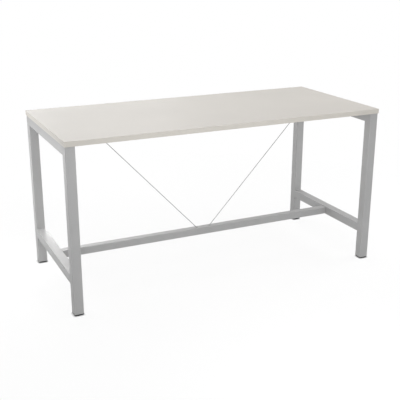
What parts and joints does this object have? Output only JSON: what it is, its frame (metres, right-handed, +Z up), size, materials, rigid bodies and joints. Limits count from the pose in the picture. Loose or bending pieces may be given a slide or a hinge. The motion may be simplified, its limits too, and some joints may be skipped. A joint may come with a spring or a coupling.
{
  "type": "standing meeting table",
  "caption": "Standing-height meeting table: rectangular laminated top on square-tube end frames, joined by a foot rail and braced by tie wires in a V, on screw-adjusted levelling feet.",
  "frame": {"origin": "on the floor under the middle of the top, with the feet screwed right in", "axes": "+X along the table's length to the right, +Y from the front edge to the rear edge, +Z up"},
  "size_m": [2.2, 0.975, 1.1],
  "materials": {
    "laminate": "warm off-white melamine facing, fine matt texture",
    "edge_band": "off-white plastic edge band, satin",
    "silver_paint": "silver-grey powder coat, fine satin texture",
    "black_plastic": "black moulded plastic, matt",
    "zinc_steel": "bright zinc-plated steel",
    "wire_steel": "stainless stranded wire"
  },
  "bodies": {
    "frame": {"top_board": "laminate", "edge_band_front": "edge_band", "edge_band_rear": "edge_band", "edge_band_left": "edge_band", "edge_band_right": "edge_band", "leg_left_front": "silver_paint", "leg_left_rear": "silver_paint", "leg_right_front": "silver_paint", "leg_right_rear": "silver_paint", "top_rail_left": "silver_paint", "top_rail_right": "silver_paint", "cross_rail_left": "silver_paint", "cross_rail_right": "silver_paint", "foot_rail": "silver_paint", "spine_beam": "silver_paint", "foot_spigot_left": "silver_paint", "foot_spigot_right": "silver_paint", "spine_spigot_left": "silver_paint", "spine_spigot_right": "silver_paint", "foot_lock_screw_left": "zinc_steel", "foot_lock_screw_right": "zinc_steel", "spine_lock_screw_left": "zinc_steel", "spine_lock_screw_right": "zinc_steel", "top_screw_left_front": "zinc_steel", "top_screw_left_rear": "zinc_steel", "top_screw_right_front": "zinc_steel", "top_screw_right_rear": "zinc_steel", "spine_screw_left": "zinc_steel", "spine_screw_right": "zinc_steel", "tie_wire_left": "wire_steel", "tie_wire_right": "wire_steel", "wire_tab_left": "silver_paint", "wire_tab_right": "silver_paint", "wire_fork_left": "zinc_steel", "wire_fork_right": "zinc_steel", "wire_pin_left": "zinc_steel", "wire_pin_right": "zinc_steel", "wire_ferrule_left": "zinc_steel", "wire_ferrule_right": "zinc_steel", "wire_anchor": "zinc_steel", "wire_tension_screw": "zinc_steel", "foot_insert_left_front": "black_plastic", "foot_insert_left_rear": "black_plastic", "foot_insert_right_front": "black_plastic", "foot_insert_right_rear": "black_plastic", "foot_nut_left_front": "zinc_steel", "foot_nut_left_rear": "zinc_steel", "foot_nut_right_front": "zinc_steel", "foot_nut_right_rear": "zinc_steel"},
    "pad_left_front": {"foot_pad_left_front": "black_plastic"},
    "pad_left_rear": {"foot_pad_left_rear": "black_plastic"},
    "pad_right_front": {"foot_pad_right_front": "black_plastic"},
    "pad_right_rear": {"foot_pad_right_rear": "black_plastic"},
    "stem_left_front": {"foot_stem_left_front": "zinc_steel"},
    "stem_left_rear": {"foot_stem_left_rear": "zinc_steel"},
    "stem_right_front": {"foot_stem_right_front": "zinc_steel"},
    "stem_right_rear": {"foot_stem_right_rear": "zinc_steel"}
  },
  "joints": [
    {"name": "travel_left_front", "type": "slide", "parent": "frame", "child": "pad_left_front", "axis": [0, 0, -1], "range_m": [0, 0.015]},
    {"name": "travel_left_rear", "type": "slide", "parent": "frame", "child": "pad_left_rear", "axis": [0, 0, -1], "range_m": [0, 0.015]},
    {"name": "travel_right_front", "type": "slide", "parent": "frame", "child": "pad_right_front", "axis": [0, 0, -1], "range_m": [0, 0.015]},
    {"name": "travel_right_rear", "type": "slide", "parent": "frame", "child": "pad_right_rear", "axis": [0, 0, -1], "range_m": [0, 0.015]},
    {"name": "turn_left_front", "type": "hinge", "parent": "pad_left_front", "child": "stem_left_front", "pos_m": [-1.066, -0.4535, 0.03], "axis": [0, 0, -1], "range_deg": [0, 3600]},
    {"name": "turn_left_rear", "type": "hinge", "parent": "pad_left_rear", "child": "stem_left_rear", "pos_m": [-1.066, 0.4535, 0.03], "axis": [0, 0, -1], "range_deg": [0, 3600]},
    {"name": "turn_right_front", "type": "hinge", "parent": "pad_right_front", "child": "stem_right_front", "pos_m": [1.066, -0.4535, 0.03], "axis": [0, 0, -1], "range_deg": [0, 3600]},
    {"name": "turn_right_rear", "type": "hinge", "parent": "pad_right_rear", "child": "stem_right_rear", "pos_m": [1.066, 0.4535, 0.03], "axis": [0, 0, -1], "range_deg": [0, 3600]}
  ],
  "couplings": [
    {"joint": "turn_left_front", "follows": "travel_left_front", "rad_per_m": 4188.8},
    {"joint": "turn_left_rear", "follows": "travel_left_rear", "rad_per_m": 4188.8},
    {"joint": "turn_right_front", "follows": "travel_right_front", "rad_per_m": 4188.8},
    {"joint": "turn_right_rear", "follows": "travel_right_rear", "rad_per_m": 4188.8}
  ]
}
